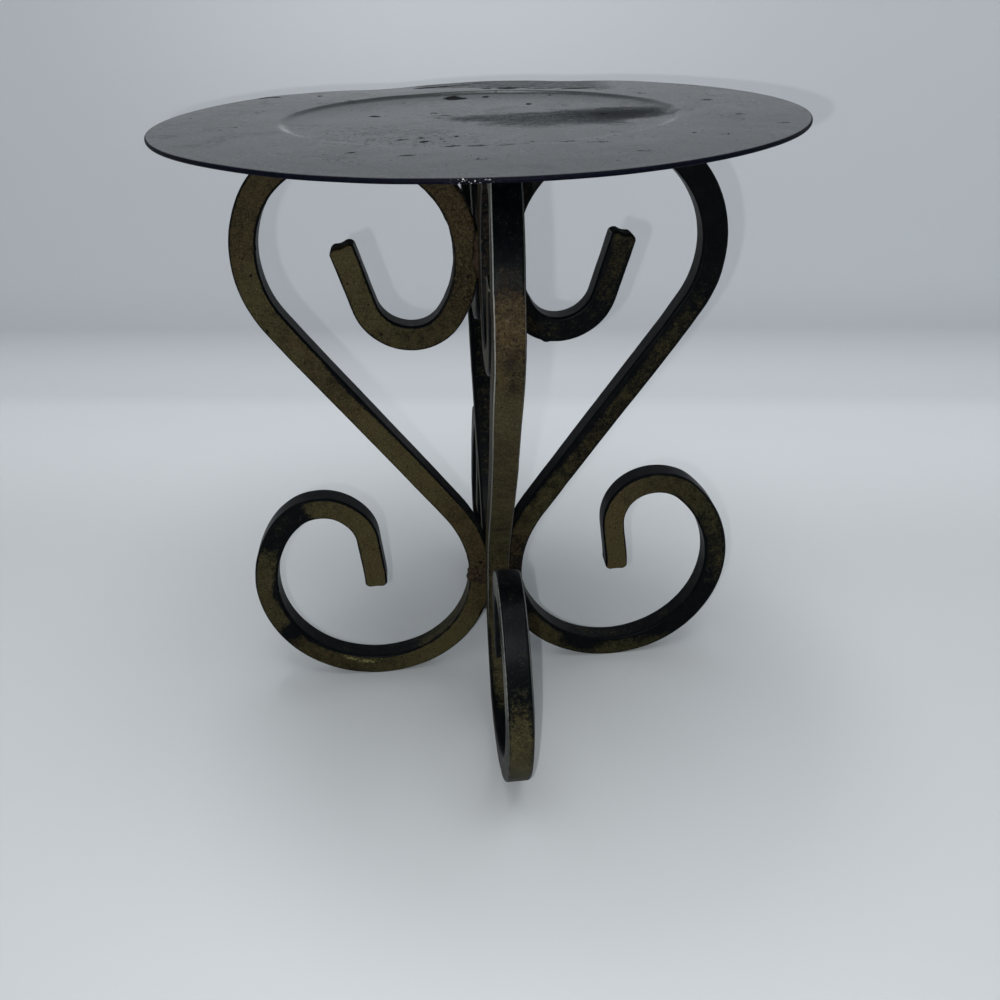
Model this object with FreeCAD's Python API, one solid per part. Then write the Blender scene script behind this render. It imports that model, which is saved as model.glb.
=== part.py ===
import FreeCAD, Part
import math
import os

from FreeCAD import Vector

# A round candle dish on four welded S-scroll legs. Lengths are in millimetres, angles in degrees.
# The origin is on the floor under the middle of the dish, +Z is up and the front leg points to -Y.

# Dish: thin sheet with a shallow round recess pressed into its middle
stand_height = 207.0
dish_diameter = 190.0
sheet_thickness = 1.2
recess_diameter = 118.0
recess_depth = 1.3
step_run = 2.6
step_bend_radius = 1.5
rim_edge_radius = 0.35

# Legs: square bar with softened edges, bent to an S-scroll in one plane
bar_size = 8.0
bar_edge_radius = 1.0
axis_gap = 4.0

# Centreline radii of the bends, named from the top of a leg to its toe
arch_radius = 34.5
hook_radius = 15.0
heel_radius = 48.0
foot_radius = 40.0
toe_radius = 15.8

# How far the bends turn: the arch below its contact at the axis, the hook, the foot from its contact, the toe
arch_past_contact = 35.5
hook_sweep = 127.8
foot_sweep = 229.0
toe_sweep = 131.0

# Straight ends beyond the last bends. The shear leaves round corners and a hollow end face.
hook_end_length = 21.0
toe_end_length = 20.5
end_corner_radius = 2.0
hook_hollow_radius = 4.0
toe_hollow_radius = 12.0

# Weld beads in the corners between neighbouring bars, and between the arches and the dish
upper_bead_leg = 3.0
upper_bead_length = 15.0
lower_bead_leg = 3.5
lower_bead_length = 8.0
dish_bead_leg = 3.0
dish_bead_length = 13.0
bead_setback_share = 0.6

quarter_turn = 90.0
half_turn = 2 * quarter_turn
full_turn = 4 * quarter_turn
up = Vector(0, 0, 1)
backwards = Vector(0, 1, 0)

half_bar = bar_size / 2
dish_radius = dish_diameter / 2
recess_floor = stand_height - recess_depth
recess_underside = recess_floor - sheet_thickness
upper_joint = recess_underside - half_bar - arch_radius
lower_joint = half_bar + foot_radius

# Each leg's turn about the axis, and how far its inner face stays from the axis where the legs come together.
# The side legs face each other across the gap. The front and back legs bear on the flanks of the side legs.
legs = {
    "scroll_leg_right": (0, axis_gap / 2),
    "scroll_leg_back": (quarter_turn, half_bar),
    "scroll_leg_left": (2 * quarter_turn, axis_gap / 2),
    "scroll_leg_front": (3 * quarter_turn, half_bar),
}


def at(radius, height):
    """A point in the XZ plane, by its distance from the axis and its height."""
    return Vector(radius, 0, height)


def direction(angle):
    turn = math.radians(angle)
    return Vector(math.cos(turn), 0, math.sin(turn))


def on_circle(centre, radius, angle):
    return centre + direction(angle) * radius


def arc(centre, radius, start, end):
    middle = (start + end) / 2
    points = [on_circle(centre, radius, angle) for angle in (start, middle, end)]
    return Part.Arc(*points).toShape()


def line(start, end):
    return Part.LineSegment(start, end).toShape()


# Scroll legs

def straight_slope(arch_centre, heel_centre):
    """The slope of the straight that crosses from the heel's circle to the arch's circle."""
    between = arch_centre - heel_centre
    crossing = math.asin((arch_radius + heel_radius) / between.Length)
    return math.degrees(math.atan2(between.z, between.x) - crossing)


def scroll_bends(inner_face):
    """The bends from toe to hook: centre, radius, start angle, end angle, and the way the bend turns."""
    centreline = inner_face + half_bar
    arch_centre = at(centreline + arch_radius, upper_joint)
    heel_centre = at(centreline + heel_radius, lower_joint)
    foot_centre = at(centreline + foot_radius, lower_joint)
    slope = straight_slope(arch_centre, heel_centre)
    foot_end = half_turn + foot_sweep
    toe_centre = on_circle(foot_centre, foot_radius - toe_radius, foot_end)
    arch_end = half_turn + arch_past_contact
    hook_centre = on_circle(arch_centre, arch_radius - hook_radius, arch_end)
    return [
        (toe_centre, toe_radius, foot_end + toe_sweep, foot_end, 1),
        (foot_centre, foot_radius, foot_end, half_turn, 1),
        (heel_centre, heel_radius, half_turn, slope + quarter_turn, 1),
        (arch_centre, arch_radius, slope - quarter_turn, arch_end, -1),
        (hook_centre, hook_radius, arch_end, arch_end + hook_sweep, -1),
    ]


def bar_side(bends, offset):
    """One side of the bar at an offset from the centreline: its edges, its toe tip and its hook tip."""
    sides = [(centre, radius + way * offset, start, end) for centre, radius, start, end, way in bends]
    toe_centre, toe_side_radius, toe_angle, _ = sides[0]
    hook_centre, hook_side_radius, _, hook_angle = sides[-1]
    toe_bend = on_circle(toe_centre, toe_side_radius, toe_angle)
    hook_bend = on_circle(hook_centre, hook_side_radius, hook_angle)
    toe_tip = on_circle(toe_bend, toe_end_length - end_corner_radius, toe_angle + quarter_turn)
    hook_tip = on_circle(hook_bend, hook_end_length - end_corner_radius, hook_angle + quarter_turn)
    edges = [line(toe_tip, toe_bend)]
    edges += [arc(*side) for side in sides]
    heel_centre, heel_side_radius, _, heel_angle = sides[2]
    arch_centre, arch_side_radius, arch_angle, _ = sides[3]
    straight_start = on_circle(heel_centre, heel_side_radius, heel_angle)
    straight_end = on_circle(arch_centre, arch_side_radius, arch_angle)
    edges.append(line(straight_start, straight_end))
    edges.append(line(hook_bend, hook_tip))
    return edges, toe_tip, hook_tip


def bar_end(first, second, forward, hollow_radius):
    """The end of the bar from one side to the other: a hollow between two round corners."""
    inwards = (second - first).normalize() * end_corner_radius
    corners = [first + inwards, second - inwards]
    reach = half_bar - end_corner_radius
    span = hollow_radius + end_corner_radius
    hollow_centre = (first + second) / 2 + forward * math.sqrt(span ** 2 - reach ** 2)
    edges = []
    tips = []
    for corner, side in zip(corners, (first, second)):
        outwards = (side - corner).normalize()
        inwards = (hollow_centre - corner).normalize()
        crest = (outwards + inwards).normalize()
        tip = corner + inwards * end_corner_radius
        tips.append(tip)
        edges.append(Part.Arc(side, corner + crest * end_corner_radius, tip).toShape())
    bottom = hollow_centre - forward * hollow_radius
    edges.append(Part.Arc(tips[0], bottom, tips[1]).toShape())
    return edges


def scroll_leg(inner_face):
    """One leg in the XZ plane: its outline drawn out to the bar's width, then its long edges softened."""
    bends = scroll_bends(inner_face)
    edges, left_toe, left_hook = bar_side(bends, half_bar)
    right_edges, right_toe, right_hook = bar_side(bends, -half_bar)
    toe_angle = bends[0][2]
    hook_angle = bends[-1][3]
    edges += right_edges
    edges += bar_end(left_toe, right_toe, direction(toe_angle + quarter_turn), toe_hollow_radius)
    edges += bar_end(left_hook, right_hook, direction(hook_angle + quarter_turn), hook_hollow_radius)
    face = Part.Face(Part.Wire(Part.sortEdges(edges)[0]))
    face.translate(Vector(0, -half_bar, 0))
    solid = face.extrude(Vector(0, bar_size, 0))
    long_edges = [edge for edge in solid.Edges if edge.BoundBox.YLength < bar_edge_radius]
    return solid.makeFillet(bar_edge_radius, long_edges)


# Dish

def dish():
    """The sheet turned about the axis, then softened where the step bends and at the rim."""
    recess_radius = recess_diameter / 2
    top = [
        at(0, recess_floor),
        at(recess_radius - step_run, recess_floor),
        at(recess_radius, stand_height),
        at(dish_radius, stand_height),
    ]
    under = [point - at(0, sheet_thickness) for point in reversed(top)]
    profile = Part.Face(Part.makePolygon(top + under + top[:1]))
    solid = profile.revolve(Vector(), up, full_turn)
    circles = [edge for edge in solid.Edges if edge.Curve.TypeId == "Part::GeomCircle"]
    bends = [edge for edge in circles if edge.Curve.Radius < dish_radius - sheet_thickness]
    solid = solid.makeFillet(step_bend_radius, bends)
    circles = [edge for edge in solid.Edges if edge.Curve.TypeId == "Part::GeomCircle"]
    rim = [edge for edge in circles if edge.Curve.Radius > dish_radius - sheet_thickness]
    return solid.makeFillet(rim_edge_radius, rim)


# Weld beads

def corner_bead(leg, length):
    """A bead along +Z in the corner of the planes x=0 and y=0, thickest halfway and pointed at its ends."""
    setback = leg * bead_setback_share
    reach = math.hypot(leg + setback, setback)
    end_reach = math.hypot(setback, setback)
    half = length / 2
    bottom = at(end_reach, -half)
    top = at(end_reach, half)
    crown = Part.Arc(bottom, at(reach, 0), top).toShape()
    sides = [line(top, at(0, half)), line(at(0, half), at(0, -half)), line(at(0, -half), bottom)]
    spindle = Part.Face(Part.Wire([crown] + sides)).revolve(Vector(), up, full_turn)
    spindle.translate(Vector(-setback, -setback, 0))
    corner = Part.makeBox(reach, reach, length, at(0, -half))
    return spindle.common(corner)


def joint_beads(leg, length, height):
    """Upright beads in the four corners between neighbouring legs, where the legs come together."""
    beads = []
    for turn, _ in legs.values():
        bead = corner_bead(leg, length)
        bead.translate(Vector(half_bar, half_bar, height))
        bead.rotate(Vector(), up, turn)
        beads.append(bead)
    return Part.makeCompound(beads)


def dish_beads():
    """Two level beads on the flanks of each arch, where its top meets the underside of the recess."""
    beads = []
    for turn, inner_face in legs.values():
        arch_top = inner_face + half_bar + arch_radius
        for flank in (0, half_turn):
            bead = corner_bead(dish_bead_leg, dish_bead_length)
            bead.rotate(Vector(), backwards, quarter_turn)
            bead.translate(Vector(arch_top, half_bar, recess_underside))
            bead.rotate(at(arch_top, 0), up, flank)
            bead.rotate(Vector(), up, turn)
            beads.append(bead)
    return Part.makeCompound(beads)


# Output

nodes = {"dish_plate": dish()}
for name, (turn, inner_face) in legs.items():
    leg = scroll_leg(inner_face)
    leg.rotate(Vector(), up, turn)
    nodes[name] = leg
nodes["upper_weld_beads"] = joint_beads(upper_bead_leg, upper_bead_length, upper_joint)
nodes["lower_weld_beads"] = joint_beads(lower_bead_leg, lower_bead_length, lower_joint)
nodes["plate_weld_beads"] = dish_beads()

os.makedirs("parts", exist_ok=True)
for name, shape in nodes.items():
    shape.exportStep("parts/" + name + ".step")
    print(name, len(shape.Solids), "solids", round(shape.Volume), "mm3", shape.isValid())
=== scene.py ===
import math

import bpy
import numpy as np
from mathutils import Matrix, Vector


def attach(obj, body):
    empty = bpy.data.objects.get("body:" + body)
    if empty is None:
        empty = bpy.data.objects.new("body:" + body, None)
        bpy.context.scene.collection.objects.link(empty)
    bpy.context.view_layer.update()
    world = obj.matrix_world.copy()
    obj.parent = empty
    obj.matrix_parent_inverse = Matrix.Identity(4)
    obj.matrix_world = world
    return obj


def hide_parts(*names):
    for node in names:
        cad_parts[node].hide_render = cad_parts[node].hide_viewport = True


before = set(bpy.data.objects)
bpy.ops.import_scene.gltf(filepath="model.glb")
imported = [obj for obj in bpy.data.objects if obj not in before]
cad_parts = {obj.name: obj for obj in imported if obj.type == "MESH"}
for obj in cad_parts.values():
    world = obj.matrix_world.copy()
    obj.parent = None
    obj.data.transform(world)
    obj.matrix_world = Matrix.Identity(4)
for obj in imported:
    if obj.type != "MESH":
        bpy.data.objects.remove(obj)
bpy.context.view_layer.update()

MM = 0.001

# Sizes of the stand in millimetres and its bends in degrees, as in the CAD model. HALF is half the bar's width.
STAND_HEIGHT = 207.0
DISH_RADIUS = 95.0
SHEET = 1.2
RECESS_RADIUS = 59.0
RECESS_DEPTH = 1.3
HALF = 4.0
EDGE = 1.0
ARCH, HOOK, HEEL, FOOT, TOE = 34.5, 15.0, 48.0, 40.0, 15.8
ARCH_PAST, HOOK_SWEEP, FOOT_SWEEP, TOE_SWEEP = 35.5, 127.8, 229.0, 131.0
HOOK_END, TOE_END = 21.0, 20.5
CORNER = 2.0
HOOK_HOLLOW, TOE_HOLLOW = 4.0, 12.0
RECESS_UNDER = STAND_HEIGHT - RECESS_DEPTH - SHEET
UPPER = RECESS_UNDER - HALF - ARCH
LOWER = HALF + FOOT
LEGS = {"right": (0.0, 2.0), "back": (90.0, 4.0), "left": (180.0, 2.0), "front": (270.0, 4.0)}

# Thickness of the bar's paint in mm
COAT = 0.15


# Camera at the photograph's angle

# Its place in mm from the axis and the floor, its angles, and its focal length as a share of the sensor's width
EYE_DISTANCE, EYE_HEIGHT = 294.584, 243.958
TURN, PITCH, YAW, ROLL = 0.0701, 0.5233, 0.0099, -0.0287
FOCAL_SHARE = 0.920
SENSOR = 36.0
HEADING = YAW + TURN
FORWARD = Vector((math.sin(HEADING) * math.cos(PITCH), math.cos(HEADING) * math.cos(PITCH), -math.sin(PITCH)))
LEVEL = Vector((math.cos(HEADING), -math.sin(HEADING), 0))
RISE = LEVEL.cross(FORWARD)
RIGHT = LEVEL * math.cos(ROLL) + RISE * math.sin(ROLL)
UP = RISE * math.cos(ROLL) - LEVEL * math.sin(ROLL)
EYE = Vector((-math.sin(TURN) * EYE_DISTANCE, -math.cos(TURN) * EYE_DISTANCE, EYE_HEIGHT)) * MM


def make_camera():
    data = bpy.data.cameras.new("camera")
    data.sensor_width = SENSOR
    data.lens = SENSOR * FOCAL_SHARE
    data.clip_start, data.clip_end = 0.01, 20.0
    camera = bpy.data.objects.new("camera", data)
    matrix = Matrix((RIGHT, UP, -FORWARD)).transposed().to_4x4()
    matrix.translation = EYE
    camera.matrix_world = matrix
    bpy.context.scene.collection.objects.link(camera)
    bpy.context.scene.camera = camera


make_camera()


# Shader helpers

# Numbers of a Mix node's sockets: factor, first value, second value and result
MIX_SOCKETS = {"FLOAT": (0, 2, 3, 0), "RGBA": (0, 6, 7, 2)}


class Nodes:
    """Makes the nodes of one material and joins them. Sizes are in millimetres."""

    def __init__(self, name):
        self.material = bpy.data.materials.new(name)
        self.material.use_nodes = True
        self.tree = self.material.node_tree
        self.tree.nodes.clear()
        self.output = self.new("ShaderNodeOutputMaterial")

    def new(self, kind, **settings):
        node = self.tree.nodes.new(kind)
        for key, value in settings.items():
            setattr(node, key, value)
        return node

    def feed(self, socket, value):
        if isinstance(value, bpy.types.NodeSocket):
            self.tree.links.new(value, socket)
        elif value is not None:
            socket.default_value = value

    def math(self, operation, a, b=None):
        node = self.new("ShaderNodeMath", operation=operation)
        for socket, value in zip(node.inputs, (a, b)):
            self.feed(socket, value)
        return node.outputs[0]

    def add(self, *values):
        total = values[0]
        for value in values[1:]:
            total = self.math("ADD", total, value)
        return total

    def mul(self, a, b):
        return self.math("MULTIPLY", a, b)

    def most(self, *values):
        largest = values[0]
        for value in values[1:]:
            largest = self.math("MAXIMUM", largest, value)
        return largest

    def around(self, noise, amount):
        """Noise turned into a swing about zero."""
        return self.mul(self.math("SUBTRACT", noise, 0.5), amount)

    def swing(self, value, *swings):
        """A value that swings with several noises, each with its amount."""
        return self.add(value, *(self.around(noise, amount) for noise, amount in zip(swings[::2], swings[1::2])))

    def position(self, offset=(0, 0, 0)):
        """The point on the surface in millimetres, in the object's own frame."""
        coords = self.new("ShaderNodeTexCoord").outputs["Object"]
        node = self.new("ShaderNodeVectorMath", operation="MULTIPLY_ADD")
        self.feed(node.inputs[0], coords)
        node.inputs[1].default_value = (1 / MM, 1 / MM, 1 / MM)
        node.inputs[2].default_value = offset
        return node.outputs[0]

    def stretch(self, vector, factors):
        node = self.new("ShaderNodeVectorMath", operation="MULTIPLY")
        self.feed(node.inputs[0], vector)
        node.inputs[1].default_value = factors
        return node.outputs[0]

    def noise(self, vector, size, detail=3.0, rough=0.55, distort=0.0):
        """Noise with features about size millimetres across, from 0 to 1 with its middle at 0.5."""
        node = self.new("ShaderNodeTexNoise")
        self.feed(node.inputs["Vector"], vector)
        node.inputs["Scale"].default_value = 1.0 / size
        node.inputs["Detail"].default_value = detail
        node.inputs["Roughness"].default_value = rough
        node.inputs["Distortion"].default_value = distort
        return node.outputs["Fac"]

    def cells(self, vector, size):
        """The distance to the nearest of points scattered about size millimetres apart, as a share of size."""
        node = self.new("ShaderNodeTexVoronoi")
        self.feed(node.inputs["Vector"], vector)
        node.inputs["Scale"].default_value = 1.0 / size
        return node.outputs["Distance"]

    def ramp(self, value, low, high, to_low=0.0, to_high=1.0):
        """A soft step from to_low to to_high as the value goes from low to high."""
        node = self.new("ShaderNodeMapRange")
        node.interpolation_type = "SMOOTHSTEP"
        self.feed(node.inputs["Value"], value)
        for key, number in zip(("From Min", "From Max", "To Min", "To Max"), (low, high, to_low, to_high)):
            self.feed(node.inputs[key], number)
        return node.outputs[0]

    def mixed(self, kind, *values):
        node = self.new("ShaderNodeMix", data_type=kind)
        *sockets, result = MIX_SOCKETS[kind]
        for socket, value in zip(sockets, values):
            self.feed(node.inputs[socket], value)
        return node.outputs[result]

    def mix(self, factor, a, b):
        return self.mixed("RGBA", factor, rgba(a), rgba(b))

    def blend(self, factor, a, b):
        return self.mixed("FLOAT", factor, a, b)

    def attributes(self, names):
        return [self.new("ShaderNodeAttribute", attribute_name=name).outputs["Fac"] for name in names.split()]

    def bump(self, height, distance):
        node = self.new("ShaderNodeBump")
        node.inputs["Strength"].default_value = 1.0
        node.inputs["Distance"].default_value = distance * MM
        self.feed(node.inputs["Height"], height)
        return node.outputs[0]

    def surface(self, **values):
        """The material, finished with a Principled surface."""
        shader = self.new("ShaderNodeBsdfPrincipled")
        for key, value in values.items():
            self.feed(shader.inputs[key.replace("_", " ")], value)
        self.feed(self.output.inputs["Surface"], shader.outputs[0])
        return self.material


def rgba(value):
    """A plain colour gets its alpha, and a socket stays as it is."""
    if isinstance(value, (tuple, list)) and len(value) == 3:
        return (*value, 1.0)
    return value


def srgb(r, g, b):
    """A display colour of 0 to 255 as the linear colour that shows it."""
    def linear(v):
        v /= 255.0
        return v / 12.92 if v <= 0.04045 else ((v + 0.055) / 1.055) ** 2.4
    return (linear(r), linear(g), linear(b))


# Shape helpers

OCTAVES = 4


def wobble(x, seed, period):
    """A smooth wandering value of about -1 to 1 along x."""
    random = np.random.RandomState(seed)
    total = np.zeros_like(x)
    for octave in range(OCTAVES):
        wave = period / 2 ** octave
        total += np.sin(2 * np.pi * x / wave + random.uniform(0, 2 * np.pi)) / 1.7 ** octave
    return total / 2.0


def lumps(points, seed, size):
    """Smooth random lumps of about -1 to 1 at points in space."""
    random = np.random.RandomState(seed)
    total = np.zeros(len(points))
    for octave in range(OCTAVES):
        for _ in range(5):
            way = random.normal(size=3)
            way *= 2 * np.pi / (size / 1.9 ** octave) / np.linalg.norm(way)
            total += np.sin(points @ way + random.uniform(0, 2 * np.pi)) / 1.8 ** octave
    return total / 4.0


def smooth_step(value):
    value = np.clip(value, 0, 1)
    return value * value * (3 - 2 * value)


def smooth_table(x, table):
    """Values at x of a table of x and value, with its corners rounded."""
    stops, values = np.array(table, dtype=float).T
    margin, samples, rounding = 20, 600, 5.0
    grid = np.linspace(stops[0] - margin, stops[-1] + margin, samples)
    line = np.interp(grid, stops, values)
    width = int(rounding / (grid[1] - grid[0]))
    kernel = np.hanning(2 * width + 3)
    padded = np.pad(line, width + 1, mode="edge")
    line = np.convolve(padded, kernel / kernel.sum(), mode="valid")
    return np.interp(x, grid, line)


def mesh_object(name, points, faces, attributes=None):
    """A smooth-shaded object in the scene, with attributes that have one value for each point."""
    mesh = bpy.data.meshes.new(name)
    mesh.from_pydata(np.asarray(points).tolist(), [], faces)
    for key, values in (attributes or {}).items():
        layer = mesh.attributes.new(key, "FLOAT", "POINT")
        layer.data.foreach_set("value", np.asarray(values, dtype=np.float32))
    mesh.update()
    mesh.polygons.foreach_set("use_smooth", [True] * len(mesh.polygons))
    made = bpy.data.objects.new(name, mesh)
    bpy.context.scene.collection.objects.link(made)
    return made


def ring_faces(rows, count):
    """Quads between neighbouring rings of count points each."""
    faces = []
    for row in range(rows - 1):
        a, c = row * count, (row + 1) * count
        for j in range(count):
            k = (j + 1) % count
            faces.append((a + j, a + k, c + k, c + j))
    return faces


def bar_faces(rows, count):
    """The same, closed by a face at each end."""
    last = (rows - 1) * count
    return ring_faces(rows, count) + [tuple(range(count))[::-1], tuple(range(last, last + count))]


# Scroll legs

# Distance between the rings of a leg, in mm
PATH_STEP = 0.8

# Points across a flat side of the bar, as shares of half of it, and round an edge, in degrees
ACROSS = np.array([-1, -0.94, -0.75, -0.5, -0.25, 0, 0.25, 0.5, 0.75, 0.94, 1])
ROUND_EDGE = [18, 36, 54, 72]

# Where an edge's wear starts on a flat side, also as a share of half of it, and how strong it gets there
EDGE_START, EDGE_MOST = 0.75, 0.45


def on_circle(centre, radius, angle):
    return np.array([centre[0] + radius * math.cos(angle), centre[1] + radius * math.sin(angle)])


def leg_path(inner):
    """The centreline from toe to hook: points, headings and lengths along it, without the corners of its ends."""
    rad = math.radians
    centreline = inner + HALF
    arch = np.array([centreline + ARCH, UPPER])
    heel = np.array([centreline + HEEL, LOWER])
    foot = np.array([centreline + FOOT, LOWER])
    between = arch - heel
    slope = math.atan2(between[1], between[0]) - math.asin((ARCH + HEEL) / np.hypot(*between))
    foot_end = rad(180 + FOOT_SWEEP)
    toe_start = foot_end + rad(TOE_SWEEP)
    arch_end = rad(180 + ARCH_PAST)
    hook_end = arch_end + rad(HOOK_SWEEP)
    toe = on_circle(foot, FOOT - TOE, foot_end)
    hook = on_circle(arch, ARCH - HOOK, arch_end)
    points, headings = [], []

    def straight(start, end):
        count = max(2, int(np.hypot(*(end - start)) / PATH_STEP) + 1)
        heading = math.atan2(end[1] - start[1], end[0] - start[0])
        for share in np.linspace(0, 1, count):
            points.append(start + (end - start) * share)
            headings.append(heading)

    def bend(centre, radius, start, end):
        count = max(2, int(abs(end - start) * radius / PATH_STEP) + 1)
        way = 1 if end > start else -1
        for angle in np.linspace(start, end, count):
            points.append(on_circle(centre, radius, angle))
            headings.append(angle + way * math.pi / 2)

    toe_bend = on_circle(toe, TOE, toe_start)
    toe_tip = on_circle(toe_bend, TOE_END - CORNER, toe_start + math.pi / 2)
    hook_bend = on_circle(hook, HOOK, hook_end)
    hook_tip = on_circle(hook_bend, HOOK_END - CORNER, hook_end + math.pi / 2)
    straight(toe_tip, toe_bend)
    bend(toe, TOE, toe_start, foot_end)
    bend(foot, FOOT, foot_end, math.pi)
    bend(heel, HEEL, math.pi, slope + math.pi / 2)
    straight(on_circle(heel, HEEL, slope + math.pi / 2), on_circle(arch, ARCH, slope - math.pi / 2))
    bend(arch, ARCH, slope - math.pi / 2, arch_end)
    bend(hook, HOOK, arch_end, hook_end)
    straight(hook_bend, hook_tip)
    points, headings = np.array(points), np.unwrap(np.array(headings))
    lengths = np.r_[0, np.cumsum(np.hypot(*np.diff(points, axis=0).T))]
    keep = np.r_[True, np.diff(lengths) > 1e-6]
    return points[keep], headings[keep], lengths[keep] + CORNER


def bar_section():
    """Points round the bar: in-plane offset n, sideways offset b, nearness to a rounded edge and to its ridge."""
    flat = HALF - EDGE
    stops = flat * ACROSS
    n, b, edge, ridge = [], [], [], []
    for turn in range(4):
        c, s = round(math.cos(turn * math.pi / 2)), round(math.sin(turn * math.pi / 2))
        for v in stops:
            b.append(HALF * c - v * s)
            n.append(HALF * s + v * c)
            edge.append(max(0.0, (abs(v) / flat - EDGE_START) / (1 - EDGE_START)) * EDGE_MOST)
            ridge.append(0.0)
        for angle in np.radians(ROUND_EDGE):
            x, y = flat + EDGE * math.cos(angle), flat + EDGE * math.sin(angle)
            b.append(x * c - y * s)
            n.append(x * s + y * c)
            edge.append(1.0)
            ridge.append(float(30 < math.degrees(angle) < 60))
    return np.array(n), np.array(b), np.array(edge), np.array(ridge)


def end_height(n, b, hollow):
    """How far the sheared end stands out beyond the start of its round corners."""
    reach = HALF - CORNER
    span = hollow + CORNER
    depth = math.sqrt(span ** 2 - reach ** 2)
    tip = reach * (1 - CORNER / span)
    n, b = np.abs(n), np.abs(b)
    corner = np.sqrt(np.clip(CORNER ** 2 - (n - reach) ** 2, 0, None))
    middle = depth - np.sqrt(np.clip(hollow ** 2 - n ** 2, 0, None))
    height = np.where(n > tip, corner, middle)
    side = np.clip(b - (HALF - EDGE), 0, EDGE)
    return height - (EDGE - np.sqrt(np.clip(EDGE ** 2 - side ** 2, 0, None)))


# Random starts
SEEDS = {"right": 11, "back": 23, "left": 37, "front": 53}

# How the bar's thickness wanders in its plane and sideways: by how much and over what length, in mm
SWELL, SWELL_LENGTH = 0.05, 61.0
WIDEN, WIDEN_LENGTH = 0.04, 43.0

# Unevenness of the skin on the bar and near the welds: height and size in mm
SKIN, SKIN_SIZE = 0.03, 9.0
WELD_SKIN, WELD_SKIN_SIZE = 0.16, 4.2

# Rings that close a sheared end, as shares of the bar's section
END_RINGS = (1.0, 0.985, 0.95, 0.88, 0.76, 0.6, 0.4, 0.2, 0.04)

# Paint on the rounded edges: its cover of bronze, its warmth and its lightness
EDGE_TONE = [0.1, 0.3, 0.4]

# How bright the rim of a hook's end is worn
END_WORN = 0.3

# Reach of a drip of paint across the bar and along it, in mm
DRIP_ACROSS, DRIP_ALONG = 1.0, 0.8

# How far each hand-bent leg strays from the drawn line, in mm at lengths along it: in its plane (n) or sideways (b)
STRAIGHT = [(0, 0), (543, 0)]
STRAY = {
    "left n": [
        (0, 0.8), (5, 0.8), (19, -0.45), (33, -1.3), (47, -0.75), (61, 0.35), (75, 0), (103, -0.15), (131, 0), (165, 0),
        (173, 0.2), (201, 0.25), (243, 0.5), (271, 0.5), (299, 0.3), (327, 0.05), (341, 0.3), (355, 0.1), (369, -0.4),
        (383, -1.0), (397, -0.4), (409, 0), (439, 0), (453, -0.5), (467, -0.3), (481, -0.55), (495, -0.6), (509, -0.1),
        (523, -0.3), (537, 0), (543, 0)
    ],
    "right n": [
        (0, -0.95), (5, -0.9), (19, 0.9), (33, 1.2), (47, 0.2), (61, -0.1), (75, -0.2), (103, -0.1), (131, 0), (200, 0),
        (215, -0.1), (229, -0.5), (243, -0.85), (257, -0.75), (285, -0.65), (313, -0.75), (327, -0.7), (341, -0.15),
        (355, 0.35), (369, 0.55), (383, 0.6), (397, 0.2), (409, 0), (439, 0), (467, 0.5), (481, 0.4), (495, -0.4),
        (509, 0.3), (523, 0.2), (537, 0), (543, 0)
    ],
    "front b": [
        (0, 0), (90, 0), (103, -0.2), (131, -0.5), (145, -0.8), (159, -0.9), (173, -0.8), (187, -0.4), (201, 0),
        (215, 0.4), (229, 0.6), (243, 0.8), (271, 0.8), (299, 0.6), (313, 0.3), (327, 0), (341, -0.2), (355, 0.1),
        (369, 0.2), (383, 0.9), (397, 1.8), (411, 2.2), (439, 2.2), (467, 2.0), (481, 1.8), (495, 1.5), (543, 1.4)
    ],
    "back b": [
        (0, -0.7), (19, -1.4), (33, -1.8), (47, -2.1), (61, -2.1), (75, -1.9), (89, -1.4), (103, -0.8), (131, -0.3),
        (145, 0), (187, -0.2), (215, -0.3), (243, -0.6), (285, -0.8), (299, -0.9), (313, -1.2), (341, -1.5),
        (495, -1.4), (543, -1.2)
    ],
}

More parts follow.
